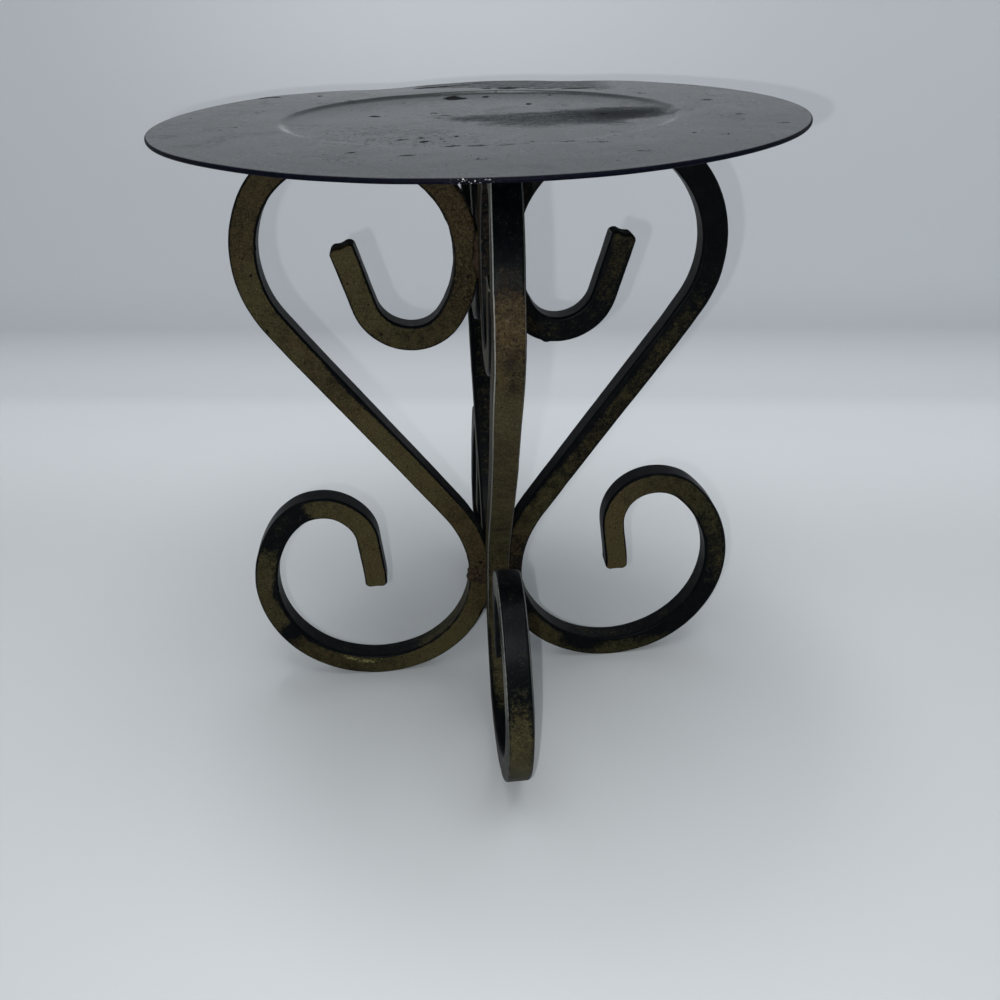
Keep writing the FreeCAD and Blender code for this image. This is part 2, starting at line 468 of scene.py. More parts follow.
# How the legs are painted, on each flat side: length along the leg in mm, then in percent the cover of bronze, its
# warmth, its lightness, and, where it isn't 0, how much more cover lies towards +n, or towards +b on the n sides
PAINT = {
    "left b+": [
        (0, 100, 35, 110), (30, 100, 40, 100), (40, 95, 30, 80), (48, 85, 30, 70), (53, 10, 20, 30), (70, 8, 10, 30),
        (76, 60, 0, 50, 15), (90, 80, 5, 55, 20), (96, 70, 50, 35, 25), (103, 90, 0, 60, 10), (107, 80, 20, 50, 10),
        (112, 35, 60, 25, 15), (118, 70, 60, 35, 10), (126, 85, 35, 42, 10), (145, 90, 20, 42, 10),
        (165, 95, 20, 80, 5), (185, 100, 15, 110), (205, 95, 55, 70), (245, 100, 50, 65), (262, 100, 40, 100),
        (292, 100, 40, 95), (310, 90, 50, 52), (335, 95, 35, 70), (350, 100, 20, 72), (364, 100, 60, 60),
        (385, 95, 75, 55), (430, 95, 75, 60), (446, 90, 60, 60), (458, 95, 65, 65), (470, 90, 15, 55),
        (480, 90, 50, 45), (500, 90, 50, 50), (509, 75, 30, 45), (518, 95, 35, 70), (543, 100, 30, 85)
    ],
    "left b-": [
        (0, 90, 30, 70), (50, 60, 30, 40), (85, 20, 20, 30), (120, 80, 30, 50), (240, 90, 50, 60), (330, 50, 40, 40),
        (400, 90, 60, 60), (500, 60, 30, 50), (543, 90, 30, 70)
    ],
    "left n+": [(0, 5, 30, 40), (543, 10, 30, 40)],
    "left n-": [
        (0, 30, 30, 50), (80, 10, 30, 30), (160, 10, 30, 30), (175, 50, 30, 50), (210, 70, 50, 50), (543, 30, 30, 50)
    ],
    "right b-": [
        (0, 100, 40, 125), (25, 100, 45, 100), (45, 90, 40, 50), (60, 75, 30, 35), (75, 50, 0, 22), (92, 42, 0, 20),
        (104, 25, 10, 18), (122, 5, 20, 20, 10), (134, 30, 20, 30, 40), (146, 70, 10, 45, 30), (155, 65, 20, 40, 30),
        (162, 35, 0, 25, 30), (172, 40, 0, 25, 30), (180, 75, 30, 50, 20), (192, 80, 40, 50, 10), (197, 20, 30, 20),
        (208, 40, 70, 20), (222, 40, 80, 25), (235, 70, 50, 35), (246, 75, 30, 40), (262, 70, 30, 35),
        (275, 55, 45, 25), (300, 55, 40, 22), (322, 50, 40, 18), (340, 20, 30, 15), (352, 0, 0, 10), (468, 0, 0, 10),
        (480, 30, 30, 20), (494, 35, 50, 20), (505, 20, 40, 10), (515, 20, 30, 10), (527, 40, 40, 10), (543, 50, 35, 10)
    ],
    "right b+": [
        (0, 80, 30, 50), (70, 30, 30, 30), (130, 75, 20, 50), (215, 85, 60, 50), (300, 60, 40, 40), (380, 30, 30, 30),
        (460, 70, 50, 50), (543, 80, 30, 60)
    ],
    "right n+": [(0, 5, 30, 30), (543, 5, 30, 30)],
    "right n-": [(0, 20, 30, 40), (543, 20, 30, 40)],
    "front n-": [
        (0, 30, 30, 40), (120, 0, 10, 20), (160, 10, 10, 30), (178, 60, 10, 50), (205, 80, 30, 40), (232, 85, 30, 38),
        (246, 95, 20, 55), (256, 90, 45, 45), (275, 95, 35, 60), (300, 95, 55, 60), (315, 100, 50, 62),
        (333, 100, 30, 75), (344, 95, 50, 60), (354, 80, 60, 40), (361, 95, 80, 60), (367, 85, 90, 45),
        (371, 35, 90, 25), (375, 0, 80, 10), (379, 0, 0, 0), (543, 0, 30, 0)
    ],
    "front n+": [
        (0, 10, 20, 40), (74, 5, 20, 30), (86, 60, 20, 60), (104, 85, 25, 70), (112, 60, 40, 50), (125, 30, 20, 50),
        (543, 20, 30, 40)
    ],
    "front b-": [
        (0, 40, 10, 60), (120, 30, 30, 50), (205, 70, 30, 70), (300, 55, 40, 50), (345, 70, 60, 50), (372, 60, 30, 50),
        (400, 70, 20, 70), (460, 70, 60, 50), (543, 70, 50, 70)
    ],
    "front b+": [
        (0, 70, 30, 50), (80, 30, 30, 40), (180, 80, 30, 60), (320, 85, 50, 60), (400, 30, 30, 30), (543, 70, 30, 60)
    ],
    "back n-": [(0, -30, 30, 10), (543, -30, 30, 10)],
    "back n+": [(0, 30, 30, 40), (80, 70, 30, 50), (180, 20, 30, 40), (543, 30, 30, 50)],
    "back b+": [(0, 80, 30, 60), (90, 40, 30, 40), (220, 85, 50, 50), (350, 60, 30, 40), (543, 85, 50, 60)],
    "back b-": [(0, 50, 30, 50), (270, 60, 30, 50), (420, 40, 30, 40), (543, 70, 30, 60)],
}

# The attributes of the paint, and the kinds of blots on it, the last of which is a painted reflection
TONES = ("bronze", "warm", "light")
KINDS = ("dark", "gold", "dusk", "spot", "pale")

# Blots on the paint of a side, and painted reflection on the front leg's left flank: length along the leg, place across
# it, reach along and across, and kind
BLOTS = {
    "left b+": [
        (112, -1.0, 3.5, 3.2, "dark"), (92, -3.0, 5, 1.6, "dark"), (104, -3.6, 8, 0.8, "dark"),
        (122, -3.6, 8, 1.0, "dark"), (140, -2.5, 4, 0.9, "gold"), (147, -1.9, 5, 1.0, "gold"),
        (303, 3.2, 16, 0.9, "dark"), (356, 1.4, 0.8, 0.7, "spot"), (338, -2.8, 0.7, 0.7, "spot"),
        (513, -1.2, 0.9, 0.6, "spot"), (474, -0.6, 0.7, 0.6, "spot"), (466, -0.9, 0.6, 0.5, "spot"),
        (217, 3.2, 0.9, 0.9, "spot"), (222, 0.6, 0.8, 0.8, "spot"), (200, 3.4, 2.2, 0.8, "spot"),
        (220, -1.8, 0.6, 0.6, "spot")
    ],
    # Painted reflection: light grey-green where the front leg's left flank reflects the bright backdrop
    "front b-": [(394, 0, 13, 6, "pale"), (42, 0, 13, 6, "pale"), (75, 0, 14, 6, "pale")],
    "right b-": [
        (118, 0, 10, 4, "dark"), (166, -0.5, 5, 2.5, "dark"), (199, 0, 4, 3.5, "dark"), (292, 2.8, 30, 0.9, "dark")
    ],
    "front n-": [
        (352.5, 0.2, 3, 2.2, "dusk"), (346, 0.6, 4, 1.6, "dusk"), (256, 0, 1.2, 3, "dusk"), (371, 0, 4, 4.0, "dusk")
    ],
}

# How coarse the surface is near the welds: length along the leg, reach and strength
COARSE = {
    "left": [(462, 24, 1.0), (221, 7, 1.0)],
    "front": [(448, 30, 0.8), (222, 9, 0.6), (362, 8, 0.7)],
    "right": [(462, 18, 0.7), (222, 8, 0.6)],
    "back": [(455, 25, 0.15), (222, 9, 0.6)],
}

# Painted highlights along some rounded edges: its side in n and in b, and how bright it is at lengths along it
EDGE_HIGHLIGHT = {
    "front": [
        (-1, -1, [(0, 0), (196, 0), (215, 0.3), (300, 0.35), (340, 0.5), (400, 0.6), (408, 0), (543, 0)]),
        (-1, 1, [(0, 0), (200, 0), (230, 0.08), (330, 0.1), (400, 0.15), (408, 0), (543, 0)]),
        (1, -1, [(0, 0), (36, 0.15), (60, 0.35), (75, 0.15), (543, 0.1)]),
        (1, 1, [(0, 0), (36, 0), (44, 0.3), (75, 0.25), (90, 0), (543, 0)]),
    ],
    "left": [
        (1, -1, [(0, 0), (320, 0), (335, 0.2), (380, 0.3), (390, 0), (478, 0), (490, 0.3), (543, 0.4)]),
    ],
    "right": [
        (1, 1, [(0, 0), (240, 0.1), (335, 0.2), (380, 0.3), (390, 0), (478, 0), (490, 0.3), (543, 0.4)]),
    ],
}

# Drips of paint on the edges: the edge's side in n and in b, length along it and height
DRIPS = {
    "left": [(1, 1, 365, 0.7), (1, 1, 353, 0.6), (1, 1, 503, 0.45), (-1, 1, 91, 0.5), (1, 1, 7, 0.5), (1, 1, 381, 0.4)],
    "right": [(-1, -1, 499, 0.8)],
}


def scroll_leg(name):
    """One leg as rings of points along its path, with its sheared ends, and its paint and wear as attributes."""
    turn, inner = LEGS[name]
    points, headings, lengths = leg_path(inner)
    n, b, edge, ridge = bar_section()
    count = len(n)
    seed = SEEDS[name]
    total = lengths[-1] + CORNER
    rows = [(p, h, s, 1.0, None) for p, h, s in zip(points, headings, lengths)]
    tail = [(points[-1], headings[-1], total - CORNER, k, HOOK_HOLLOW) for k in END_RINGS]
    head = [(points[0], headings[0], CORNER, k, -TOE_HOLLOW) for k in END_RINGS]
    rows = head[::-1] + rows[2:-2] + tail
    lengths = np.array([row[2] for row in rows])
    swell = SWELL * wobble(lengths, seed, SWELL_LENGTH) + COAT
    widen = WIDEN * wobble(lengths, seed + 1, WIDEN_LENGTH) + COAT
    stray_n, stray_b = (smooth_table(lengths, STRAY.get(f"{name} {way}", STRAIGHT)) for way in "nb")
    angle = math.radians(turn)
    outwards = np.array([math.cos(angle), math.sin(angle), 0])
    sideways = np.array([-math.sin(angle), math.cos(angle), 0])
    upwards = np.array([0, 0, 1.0])
    sides = [("b+", b > HALF - 0.5), ("b-", b < -HALF + 0.5), ("n+", n > HALF - 0.5), ("n-", n < -HALF + 0.5)]
    vertices, drips, rings = [], [], []
    for row, (point, heading, length, share, hollow) in enumerate(rows):
        ns, bs = n * share, b * share
        ahead = np.zeros(count)
        if hollow is not None:
            ahead = math.copysign(1, hollow) * end_height(ns, bs, abs(hollow))
        direction = np.array([math.cos(heading), math.sin(heading)])
        left = np.array([-direction[1], direction[0]])
        flat = point + np.outer(ns * (1 + swell[row] / HALF) + stray_n[row], left) + np.outer(ahead, direction)
        across = bs * (1 + widen[row] / HALF) + stray_b[row]
        vertices.append(np.outer(flat[:, 0], outwards) + np.outer(flat[:, 1], upwards) + np.outer(across, sideways))
        here = length + ahead
        tone = np.tile(EDGE_TONE, (count, 1))
        marks = {key: np.zeros(count) for key in KINDS}
        for side, mask in sides:
            place = ns if side[0] == "b" else bs
            stops, *table = np.array([(*row, 0)[:5] for row in PAINT[f"{name} {side}"]], dtype=float).T
            cover, warm, light, tilt = (np.interp(here, stops, column / 100) for column in table)
            tone[mask] = np.stack([cover + tilt * (place / HALF), warm, light], 1)[mask]
            for s, c, reach, width, kind in BLOTS.get(f"{name} {side}", ()):
                far = ((here - s) / reach) ** 2 + ((place - c) / width) ** 2
                marks[kind] = np.maximum(marks[kind], mask * np.exp(-far))
        coarse = np.zeros(count)
        for s, reach, amount in COARSE[name]:
            coarse = np.maximum(coarse, amount * np.exp(-((here - s) / reach) ** 4))
        worn, line, drip = np.zeros(count), np.zeros(count), np.zeros(count)
        # Painted highlights along some edges
        for side_n, side_b, table in EDGE_HIGHLIGHT.get(name, ()) if hollow is None else ():  # not on the ends
            corner = (n * side_n > 0) * (b * side_b > 0)
            worn = np.maximum(worn, corner * np.interp(length, *zip(*table)))
            line = np.maximum(line, corner * ridge)
        # The bright rim round a hook's end is wear
        if hollow == HOOK_HOLLOW and 0.94 < share < 0.99:
            rim = {"left": -1, "right": 1}.get(name, 0) * b > -2.5  # not along a side leg's front side
            worn, line = END_WORN * rim, rim * 1.0
        for side_n, side_b, s, height in DRIPS.get(name, ()):
            far = ((n - side_n * HALF) / DRIP_ACROSS) ** 2 + ((b - side_b * HALF) / DRIP_ACROSS) ** 2
            far += ((length - s) / DRIP_ALONG) ** 2
            drip = np.maximum(drip, height * np.exp(-far))
        drips.append(drip)
        ring = dict(zip(TONES, tone.T), **marks, coarse=coarse, worn=worn, ridge=line)
        ring["edge"] = edge if hollow is None else np.ones(count) * (share < 0.99)
        ring["end"] = np.full(count, float(hollow is not None and share < 0.97))
        rings.append(ring)
    vertices = np.concatenate(vertices)
    values = {key: np.concatenate([ring[key] for ring in rings]) for key in rings[0]}
    centre = np.repeat([v.mean(0) for v in vertices.reshape(len(rows), count, 3)], count, axis=0)
    out = vertices - centre
    out /= np.linalg.norm(out, axis=1)[:, None] + 1e-9
    relief = SKIN * lumps(vertices, seed + 5, SKIN_SIZE)
    relief = relief + values["coarse"] * WELD_SKIN * lumps(vertices, seed + 6, WELD_SKIN_SIZE)
    relief += np.concatenate(drips)
    vertices += out * relief[:, None]
    vertices[:, 2] = np.maximum(vertices[:, 2], 0.0)
    return mesh_object("leg_" + name, vertices * MM, bar_faces(len(rows), count), values)


def leg_material():
    """Bronze paint, olive to brown, rubbed through to black paint, with pits, rough weld zones, bright wear round the
    hooks' ends, painted highlights along some edges and a painted reflection on the front leg's left flank.
    """
    m = Nodes("worn_bar_paint")
    p, q = m.position(), m.position((31.0, 7.0, 3.0))
    bronze, warm, light, dark, gold, dusk, spot, pale = m.attributes("bronze warm light dark gold dusk spot pale")
    edge, coarse, end, worn, ridge = m.attributes("edge coarse end worn ridge")
    worn = m.mul(worn, m.ramp(ridge, 0.6, 1.0))
    patch = m.noise(p, 11.0, 2.0, 0.5, 0.6)
    mottle = m.noise(p, 3.4, 3.0, 0.6, 0.5)
    fine = m.noise(q, 1.0, 3.0, 0.65)
    grain = m.noise(p, 0.38, 1.0, 0.6)
    level = m.add(m.swing(bronze, patch, 0.5, mottle, 0.6, fine, 0.9, grain, 0.5),
                  m.mul(edge, -0.36), m.mul(dark, -0.8), m.mul(gold, 0.6))
    cover = m.ramp(level, 0.16, 0.70)
    shade = m.swing(light, patch, 0.6, mottle, 1.2, fine, m.add(1.25, m.mul(coarse, 1.6)), grain, 1.7)
    olive = m.mix(shade, (0.0068, 0.0068, 0.0030), (0.0475, 0.0412, 0.0174))
    brown = m.mix(shade, (0.0072, 0.0048, 0.0024), (0.0480, 0.0340, 0.0146))
    blush = m.swing(warm, m.noise(q, 6.0, 2.0, 0.5), 0.9)
    tone = m.mix(m.ramp(blush, 0.1, 0.9), olive, brown)
    tone = m.mix(m.ramp(m.noise(q, 0.75, 2.0, 0.5), 0.37, 0.31, 0.0, 0.7), tone, (0.0050, 0.0036, 0.0022))
    sparks = m.mul(m.ramp(m.noise(p, 0.6, 1.0, 0.5), 0.60, 0.70), m.ramp(light, 0.3, 0.9, 0.15, 0.6))
    tone = m.mix(sparks, tone, (0.100, 0.082, 0.046))
    tone = m.mix(m.mul(dusk, 0.6), tone, (0.0055, 0.0042, 0.0045))
    tone = m.mix(m.mul(m.ramp(m.swing(gold, fine, 2.2), 0.40, 0.95), 0.85), tone, (0.145, 0.138, 0.055))
    dusty = m.ramp(m.swing(patch, mottle, 0.6), 0.4, 0.7)
    black = m.mix(dusty, (0.0005, 0.0012, 0.0020), (0.0016, 0.0024, 0.0026))
    black = m.mix(m.ramp(fine, 0.56, 0.72, 0.0, 0.6), black, (0.0085, 0.0095, 0.0090))
    black = m.mix(m.mul(m.ramp(grain, 0.66, 0.74), m.ramp(mottle, 0.5, 0.62, 0.0, 0.5)), black, (0.050, 0.055, 0.060))
    colour = m.mix(cover, black, tone)
    rusty = m.mul(coarse, m.ramp(m.noise(q, 1.5, 3.0, 0.65), 0.46, 0.60, 0.0, 0.7))
    colour = m.mix(rusty, colour, (0.0260, 0.0160, 0.0095))
    flecks = m.mul(coarse, m.ramp(m.noise(p, 1.0, 4.0, 0.7, 0.6), 0.56, 0.70, 0.0, 0.65))
    colour = m.mix(flecks, colour, (0.095, 0.080, 0.064))
    holes = m.mul(coarse, m.ramp(m.noise(q, 1.6, 3.0, 0.65, 0.6), 0.42, 0.34, 0.0, 0.85))
    colour = m.mix(holes, colour, (0.0030, 0.0018, 0.0012))
    # Painted reflection: light grey-green blots on the front leg's left flank
    colour = m.mix(m.mul(m.ramp(m.swing(pale, fine, 0.9), 0.25, 0.85), 0.8), colour, (0.120, 0.125, 0.110))
    pits = m.most(m.ramp(m.cells(p, 6.0), 0.075, 0.045), m.ramp(spot, 0.35, 0.6))
    colour = m.mix(m.mul(pits, 0.9), colour, (0.0028, 0.0012, 0.0010))
    colour = m.mix(m.mul(end, 0.8), colour, (0.0012, 0.0012, 0.0012))
    # Painted highlights along some edges, and the bright wear round the hooks' ends
    colour = m.mix(m.mul(worn, m.ramp(fine, 0.25, 0.5, 0.5, 1.0)), colour, (0.30, 0.31, 0.30))
    rough = m.add(m.swing(m.blend(cover, 0.40, 0.55), fine, 0.2), m.mul(coarse, 0.15), m.mul(end, 0.4))
    height = m.add(m.mul(grain, m.blend(cover, 0.1, 0.25)),
                   m.mul(fine, m.add(m.blend(cover, 0.25, 0.7), m.mul(coarse, 1.9))),
                   m.mul(mottle, m.blend(cover, 0.6, 1.2)), m.mul(cover, 0.3), m.mul(pits, -1.0))
    return m.surface(Base_Color=colour, Roughness=rough, Specular_IOR_Level=0.05, Normal=m.bump(height, 0.085))


# Dish

# Points round the dish, and the rounding of its rim in mm
AROUND = 480
RIM_ROUND = 0.45

# The pressed step has a steep part, whose width changes round the dish, and an easy, wider part
STEEP_SHARE, EASY_SHARE, EASY_RUN = 0.58, 0.42, 9

# Where the rim's sag starts and how far it would run, in mm, and its gain
SAG_START, SAG_RUN, SAG_GAIN = 62, 40, 1.25

# Broad and small dents of the sheet: depth and size in mm
DENT, DENT_SIZE = 0.10, 70.0
DIMPLE, DIMPLE_SIZE = 0.03, 22.0

# How far the rim hangs below its true level, in mm at bearings round the dish
DROOP = [
    (-180, 0), (-137, 0), (-130, 0.08), (-119, 0.39), (-112, 0.43), (-107, 0.56), (-103, 0.52), (-95, 0.6), (-84, 0.66),
    (-76, 0.68), (-69, 0.58), (-57, 0.41), (-51, 0.34), (-43, 0.26), (-30, 0.15), (-15, 0), (50, 0), (57, 0.22),
    (62, 0.5), (67, 0.65), (72, 0.45), (80, 0.36), (86, 0.4), (90, 0.58), (95, 0.8), (100, 1.0), (104, 1.28),
    (109, 1.4), (114, 1.1), (119, 0.68), (124, 0.48), (129, 0.3), (135, 0), (180, 0)
]

# How wide the recess's pressed step is, in mm at bearings round the dish: steep at the back, easy at the front
STEP_RUNS = [(-180, 2.6), (-150, 2.8), (-30, 2.8), (20, 2.2), (50, 1.5), (130, 1.5), (160, 2.0), (180, 2.6)]

# Dark marks on the dish: place and reach in mm, and strength
MARKS = [
    (-4.5, 50, 4.3, 4.5, 1), (7.5, 64.5, 2, 2.2, 0.9), (16, 63.5, 5, 2.6, 1), (27, 58.5, 6, 1.6, 0.6),
    (38, 54.5, 7, 2.0, 0.85), (46, 50, 4, 1.6, 0.5), (-13, 79, 7, 3, 0.95), (-3, 81.5, 8, 2.6, 0.65),
    (6, 86, 7, 2.2, 0.45), (6, 51, 1.3, 2, 0.8), (18, 28, 1.3, 2.4, 0.9), (37, -2, 1.3, 2, 0.9), (28, 47, 1, 2, 0.5),
    (-71, 62, 5, 2.4, 0.9), (-13, 15, 2.2, 1.2, 0.7), (-10, 8, 3, 1, 0.6), (-12, 3, 2.2, 1, 0.5),
    (-23, -36, 1.6, 2, 0.6), (-18, -34, 1.2, 1.5, 0.7), (-17, -40, 1.4, 1.6, 0.8), (-13, -37, 1, 1.4, 0.6),
    (-11, -49, 3, 1.4, 0.8), (-9, -33, 1.2, 1.6, 0.7), (-4, -50, 3, 1.4, 0.6), (3, -51, 3, 1.1, 0.7),
    (8, -52.5, 3.5, 1, 0.8), (15, -50, 2, 1.1, 0.5), (18, -57, 2.4, 1.2, 0.5), (25, -60, 3, 1, 0.5),
    (-31, 12, 1.6, 2, 0.8), (-48, -30, 3, 1.4, 0.5), (-35, -60, 1.4, 1.2, 0.6), (-22, -67, 3, 1.1, 0.6),
    (-5, -75, 2, 1, 0.4), (33, -73, 3, 1.4, 0.45), (72, -23, 2, 1.6, 0.5), (78, -41, 2, 1.2, 0.6),
    (72, 10, 2.4, 2.2, 0.5), (58, -55, 2, 1.2, 0.5), (-40, 44, 2, 2, 0.42), (-52, 62, 1.5, 2, 0.6), (56, 34, 2, 3, 0.4)
]

# Zones peppered with small dark specks: place, reach and strength
PEPPERED = [
    (-22, -38, 20, 15, 1.0), (-32, -18, 14, 12, 0.7), (0, -50, 26, 7, 0.8), (44, -4, 18, 9, 0.8), (8, 76, 34, 9, 0.7),
    (-10, 10, 12, 10, 0.6), (30, -52, 16, 8, 0.45), (66, -20, 12, 12, 0.35)
]

# The stained patch: place across, and where its far and near edges run there
PATCH = [
    (-19, 1, -2), (-12, 5, -8), (-4, 10, -16), (6, 13, -24), (16, 14, -30), (27, 15, -31), (39, 17, -27), (48, 16, -21),
    (56, 11, -15), (64, 4, -10)
]


# Painted shade on the back rim, beyond the crease where it sags: place across and where its near edge runs there
SAG_SHADE = [(-22, 81), (-18, 77), (-8, 72), (0, 68), (6, 65), (19, 63), (28, 58), (43, 52), (56, 46)]

# A painted highlight along the lit near side of the step: bearing and strength
STEP_HIGHLIGHT = [(-178, 0), (-165, 1), (-130, 1), (-112, 0.7), (-100, 0.3), (-62, 0.25), (-50, 0.6), (-30, 0.9), (-18, 0)]


def dish():
    """The sheet as a turned surface with its step, dents and knocked rim. Its stains and marks are attributes, with
    painted shade on the sagging back rim, a painted highlight along the step and painted glints on the front rim.
    """
    radii = np.r_[np.arange(1, 49.0, 1.1), np.arange(49.5, 54.9, 0.6), np.linspace(55.2, RECESS_RADIUS + 0.6, 22),
                  np.arange(RECESS_RADIUS + 1.4, DISH_RADIUS - 0.5, 0.95), DISH_RADIUS - RIM_ROUND]
    bearing = np.linspace(-np.pi, np.pi, AROUND, endpoint=False)
    droop = smooth_table(np.degrees(bearing), DROOP)
    run = smooth_table(np.degrees(bearing), STEP_RUNS)

    def sheet(radius, lift):
        steep = smooth_step((radius - RECESS_RADIUS + run) / run)
        easy = smooth_step((radius - RECESS_RADIUS + EASY_RUN) / EASY_RUN)
        step = STEEP_SHARE * steep + EASY_SHARE * easy
        x, y = radius * np.cos(bearing), radius * np.sin(bearing)
        z = np.full(AROUND, STAND_HEIGHT - RECESS_DEPTH * (1 - step))
        z = z - droop * smooth_step((radius - SAG_START) / SAG_RUN) * SAG_GAIN
        flat = np.stack([x, y, np.zeros(AROUND)], 1)
        dent = DENT * lumps(flat, 71, DENT_SIZE) + DIMPLE * lumps(flat, 72, DIMPLE_SIZE)
        z = z - np.abs(dent) * smooth_step(radius / 8) * (1 - smooth_step((radius - 92) / 3)) + lift
        return np.stack([x, y, z], 1)

    rings = [sheet(r, 0) for r in radii]
    rim_angles = np.radians([60, 30, 0, -30, -60])
    for angle in rim_angles:
        rim = DISH_RADIUS - RIM_ROUND + RIM_ROUND * math.cos(angle)
        rings.append(sheet(rim, -SHEET / 2 + SHEET / 2 * math.sin(angle)))
    rings += [sheet(r, -SHEET) for r in radii[::-1]]
    kinds = [0] * len(radii) + [1] * len(rim_angles) + [2] * len(radii)  # top, rim and underside
    points = np.concatenate(rings)
    centre_top, centre_under = len(points), len(points) + 1
    points = np.r_[points, [[0, 0, STAND_HEIGHT - RECESS_DEPTH], [0, 0, RECESS_UNDER]]]
    faces = [face[::-1] for face in ring_faces(len(rings), AROUND)]
    last = (len(rings) - 1) * AROUND
    for j in range(AROUND):
        k = (j + 1) % AROUND
        faces.append((centre_top, j, k))
        faces.append((centre_under, last + k, last + j))
    kind = np.r_[np.repeat(kinds, AROUND), 0, 2]
    x, y = points[:, 0], points[:, 1]
    top = kind < 2
    across, far, near = zip(*PATCH)
    far, near = np.interp(x, across, far), np.interp(x, across, near)
    ragged = 4.0 * lumps(points * [1, 1, 0], 81, 18.0)
    patch = smooth_step((far + 2 + ragged - y) / 12.0) * smooth_step((y - near + ragged) / 18.0 + 0.1)
    patch *= smooth_step((x + 20) / 16) * smooth_step((66 - x) / 14)
    patch *= 0.54 + 0.42 * np.exp(-((x - 41) / 14) ** 2 - ((y + 3) / 10) ** 2)
    lens = np.interp(x, *zip(*SAG_SHADE))
    lens = smooth_step((y - lens + ragged * 0.5) / 2.5) * smooth_step((x + 22) / 8) * smooth_step((60 - x) / 16)
    # Painted shade on the sagging back rim, added to the stained patch
    patch = np.maximum(patch, 0.42 * lens)
    marks = np.zeros(len(points))
    twist = np.stack([lumps(points * [1, 1, 0], 82, 7.0), lumps(points * [1, 1, 0], 83, 7.0)], 1)
    for mx, my, rx, ry, strength in MARKS:
        rx, ry = 0.95 * rx, 0.95 * ry
        spread = ((x - mx + twist[:, 0] * rx * 0.4) / rx) ** 2 + ((y - my + twist[:, 1] * ry * 0.4) / ry) ** 2
        marks = np.maximum(marks, strength * np.exp(-spread ** 2))
    # Where the front rim gets bright specks painted as its glints
    glints = np.exp(-((x + 8.6) / 3.8) ** 4) * (y < -90) * (kind == 1)
    radius, turned = np.hypot(x, y), np.degrees(np.arctan2(y, x))
    # Painted highlight along the step's near side
    pale = np.interp(turned, *zip(*STEP_HIGHLIGHT))
    pale *= np.exp(-((radius - 57.6) / 1.2) ** 2) * (kind == 0)
    pepper = np.zeros(len(points))
    for px, py, rx, ry, strength in PEPPERED:
        pepper = np.maximum(pepper, strength * np.exp(-((x - px) / rx) ** 2 - ((y - py) / ry) ** 2))
    attributes = {"patch": patch * top, "marks": marks * top, "glints": glints, "pale": pale, "pepper": pepper * top}
    made = mesh_object("dish", points * MM, faces, attributes)
    rim = np.zeros(len(made.data.polygons), dtype=np.int32)
    rim[(len(radii) - 1) * AROUND:(len(radii) + len(rim_angles)) * AROUND] = 1
    made.data.polygons.foreach_set("material_index", rim)
    return made


def dish_material():
    """Dark satin paint with stains, chipped spots, specks and cracks, painted shade on the sagging back rim and a
    painted highlight along the step.
    """
    m = Nodes("worn_dish_paint")
    p, q = m.position(), m.position((17.0, 5.0, 9.0))
    patch, marks, pale, pepper = m.attributes("patch marks pale pepper")
    broad = m.noise(p, 26.0, 3.0, 0.5, 0.6)
    cloud = m.noise(q, 7.0, 3.0, 0.55, 0.8)
    fine = m.noise(p, 0.9, 2.0, 0.6)
    grit = m.noise(q, 0.55, 1.0, 0.6)
    scratch = m.noise(m.stretch(p, (0.35, 1.6, 1.0)), 1.6, 3.0, 0.65, 0.3)
    shade = m.ramp(m.swing(broad, cloud, 0.6), 0.3, 0.75)
    base = m.mix(shade, (0.0080, 0.0095, 0.0098), (0.0190, 0.0210, 0.0212))
    # The stain also carries the painted shade on the sagging back rim
    stain_and_shade = m.ramp(m.swing(patch, scratch, 0.5, cloud, 0.35, fine, 0.5, grit, 0.4), 0.10, 0.95)
    base = m.mix(stain_and_shade, base, (0.0030, 0.0036, 0.0046))
    specks = m.mul(m.ramp(m.cells(q, 7.0), 0.10, 0.05), m.ramp(m.noise(q, 18.0, 1.0), 0.5, 0.62))
    crack = m.ramp(m.math("ABSOLUTE", m.around(scratch, 2.0)), 0.05, 0.015)
    crack = m.mul(crack, m.ramp(m.noise(p, 15.0, 1.0), 0.60, 0.70))
    dots = m.noise(m.stretch(q, (0.55, 1.15, 1.0)), 1.1, 2.0, 0.6)
    pepper = m.mul(m.ramp(pepper, 0.1, 0.9), m.ramp(dots, 0.60, 0.67))
    chip = m.ramp(m.swing(marks, fine, 1.4, grit, 0.9), 0.26, 0.66)
    flaw = m.most(chip, m.mul(pepper, 0.9), m.most(m.mul(specks, 0.8), m.mul(crack, 0.2)))
    base = m.mix(flaw, base, (0.0032, 0.0035, 0.0042))
    # Painted highlight: a light line along the step's near side
    base = m.mix(m.mul(pale, m.ramp(cloud, 0.3, 0.6, 0.35, 1.0)), base, (0.230, 0.240, 0.240))
    rough = m.add(m.swing(0.27, broad, 0.12, cloud, 0.06), m.mul(stain_and_shade, 0.52), m.mul(flaw, 0.75))
    shine = m.mix(m.most(m.mul(stain_and_shade, 0.97), flaw), (1.0, 1.0, 1.0), (0.02, 0.03, 0.05))
    height = m.add(m.mul(fine, 0.10), m.mul(cloud, 0.6), m.mul(scratch, 0.15), m.mul(flaw, -1.6), m.mul(stain_and_shade, -0.3))
    return m.surface(Base_Color=base, Roughness=rough, Specular_IOR_Level=0.285, Specular_Tint=shine,
                     Normal=m.bump(height, 0.05))


